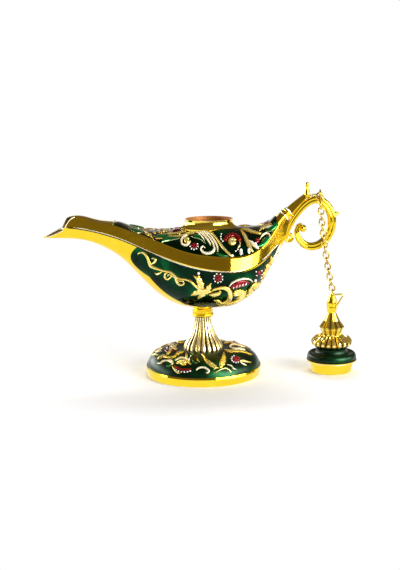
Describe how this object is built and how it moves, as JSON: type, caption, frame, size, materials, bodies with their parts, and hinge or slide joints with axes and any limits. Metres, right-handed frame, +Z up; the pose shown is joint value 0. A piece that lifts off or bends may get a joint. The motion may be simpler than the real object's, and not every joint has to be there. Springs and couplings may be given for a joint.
{
  "type": "genie oil lamp",
  "caption": "Genie oil lamp with an enamelled hull and dome, long spout, scrolled handle, reeded pedestal and a lid that hangs on a chain.",
  "frame": {"origin": "on the table, under the centre of the foot", "axes": "+X towards the handle, -X along the spout, +Z up, -Y the side that the picture shows"},
  "size_m": [0.1593, 0.0596, 0.0977],
  "materials": {
    "gold_plating": "polished gold-plated casting",
    "green_enamel": "glossy translucent enamel",
    "steel": "plated steel"
  },
  "bodies": {
    "lamp": {"hull_shell": "gold_plating", "hull_enamel_front": "green_enamel", "hull_enamel_back": "green_enamel", "deck_shell": "gold_plating", "deck_enamel": "green_enamel", "neck_collar": "gold_plating", "pedestal_collar": "gold_plating", "bead_ring": "gold_plating", "fluted_stem": "gold_plating", "foot": "gold_plating", "foot_enamel": "green_enamel", "pedestal_washer": "steel", "pedestal_screw": "steel", "handle_scroll": "gold_plating", "handle_ferrule": "gold_plating", "handle_arm": "gold_plating", "handle_bud": "gold_plating", "chain_eyelet": "gold_plating"},
    "top_ring": {"chain_top_ring": "gold_plating"},
    "link_01": {"chain_link_01": "gold_plating"},
    "link_02": {"chain_link_02": "gold_plating"},
    "link_03": {"chain_link_03": "gold_plating"},
    "link_04": {"chain_link_04": "gold_plating"},
    "link_05": {"chain_link_05": "gold_plating"},
    "link_06": {"chain_link_06": "gold_plating"},
    "link_07": {"chain_link_07": "gold_plating"},
    "link_08": {"chain_link_08": "gold_plating"},
    "link_09": {"chain_link_09": "gold_plating"},
    "link_10": {"chain_link_10": "gold_plating"},
    "link_11": {"chain_link_11": "gold_plating"},
    "link_12": {"chain_link_12": "gold_plating"},
    "link_13": {"chain_link_13": "gold_plating"},
    "link_14": {"chain_link_14": "gold_plating"},
    "link_15": {"chain_link_15": "gold_plating"},
    "link_16": {"chain_link_16": "gold_plating"},
    "link_17": {"chain_link_17": "gold_plating"},
    "link_18": {"chain_link_18": "gold_plating"},
    "lid_ring": {"lid_ring": "gold_plating"},
    "lid": {"lid_plug": "gold_plating", "lid_saucer": "green_enamel", "lid_disc": "gold_plating", "lid_bell": "gold_plating", "lid_bud": "gold_plating", "lid_eye": "gold_plating", "lid_screw": "steel"}
  },
  "joints": [
    {"name": "top_ring_swing", "type": "hinge", "parent": "lamp", "child": "top_ring", "pos_m": [0.0596, -0.0031, 0.09245], "axis": [-1, 0, 0], "range_deg": [0, 40]},
    {"name": "link_01_swing", "type": "hinge", "parent": "top_ring", "child": "link_01", "pos_m": [0.0596, -0.00405, 0.09001], "axis": [0, 1, 0], "range_deg": [-30, 10]},
    {"name": "link_02_swing", "type": "hinge", "parent": "link_01", "child": "link_02", "pos_m": [0.05982, -0.00405, 0.08722], "axis": [-0.9968, 0, -0.0802], "range_deg": [0, 30]},
    {"name": "link_03_swing", "type": "hinge", "parent": "link_02", "child": "link_03", "pos_m": [0.06006, -0.00405, 0.08441], "axis": [0, -1, 0], "range_deg": [-10, 30]},
    {"name": "link_04_swing", "type": "hinge", "parent": "link_03", "child": "link_04", "pos_m": [0.06031, -0.00405, 0.0816], "axis": [-0.9961, 0, -0.0879], "range_deg": [0, 30]},
    {"name": "link_05_swing", "type": "hinge", "parent": "link_04", "child": "link_05", "pos_m": [0.06057, -0.00405, 0.07879], "axis": [0, 1, 0], "range_deg": [-30, 10]},
    {"name": "link_06_swing", "type": "hinge", "parent": "link_05", "child": "link_06", "pos_m": [0.06085, -0.00405, 0.07599], "axis": [-0.9949, 0, -0.1006], "range_deg": [0, 30]},
    {"name": "link_07_swing", "type": "hinge", "parent": "link_06", "child": "link_07", "pos_m": [0.06116, -0.00405, 0.07318], "axis": [0, -1, 0], "range_deg": [-10, 30]},
    {"name": "link_08_swing", "type": "hinge", "parent": "link_07", "child": "link_08", "pos_m": [0.06149, -0.00405, 0.07038], "axis": [-0.9932, 0, -0.1162], "range_deg": [0, 30]},
    {"name": "link_09_swing", "type": "hinge", "parent": "link_08", "child": "link_09", "pos_m": [0.06184, -0.00405, 0.06759], "axis": [0, 1, 0], "range_deg": [-30, 10]},
    {"name": "link_10_swing", "type": "hinge", "parent": "link_09", "child": "link_10", "pos_m": [0.06222, -0.00405, 0.06479], "axis": [-0.991, 0, -0.134], "range_deg": [0, 30]},
    {"name": "link_11_swing", "type": "hinge", "parent": "link_10", "child": "link_11", "pos_m": [0.06262, -0.00405, 0.062], "axis": [0, -1, 0], "range_deg": [-10, 30]},
    {"name": "link_12_swing", "type": "hinge", "parent": "link_11", "child": "link_12", "pos_m": [0.06305, -0.00405, 0.05921], "axis": [-0.9881, 0, -0.1536], "range_deg": [-20, 30]},
    {"name": "link_13_swing", "type": "hinge", "parent": "link_12", "child": "link_13", "pos_m": [0.06352, -0.00405, 0.05643], "axis": [0, 1, 0], "range_deg": [-30, 10]},
    {"name": "link_14_swing", "type": "hinge", "parent": "link_13", "child": "link_14", "pos_m": [0.06401, -0.00405, 0.05366], "axis": [-0.9846, 0, -0.1748], "range_deg": [-20, 30]},
    {"name": "link_15_swing", "type": "hinge", "parent": "link_14", "child": "link_15", "pos_m": [0.06453, -0.00405, 0.05088], "axis": [0, -1, 0], "range_deg": [-10, 30]},
    {"name": "link_16_swing", "type": "hinge", "parent": "link_15", "child": "link_16", "pos_m": [0.06509, -0.00405, 0.04812], "axis": [-0.9803, 0, -0.1973], "range_deg": [-20, 30]},
    {"name": "link_17_swing", "type": "hinge", "parent": "link_16", "child": "link_17", "pos_m": [0.06568, -0.00405, 0.04536], "axis": [0, 1, 0], "range_deg": [-30, 10]},
    {"name": "link_18_swing", "type": "hinge", "parent": "link_17", "child": "link_18", "pos_m": [0.0663, -0.00405, 0.04261], "axis": [-0.9752, 0, -0.2211], "range_deg": [-20, 30]},
    {"name": "lid_ring_swing", "type": "hinge", "parent": "link_18", "child": "lid_ring", "pos_m": [0.06696, -0.00405, 0.03987], "axis": [0, 1, 0], "range_deg": [-30, 30]},
    {"name": "lid_swing", "type": "hinge", "parent": "lid_ring", "child": "lid", "pos_m": [0.06766, -0.00405, 0.03527], "axis": [-1, 0, 0], "range_deg": [-5, 15]}
  ]
}
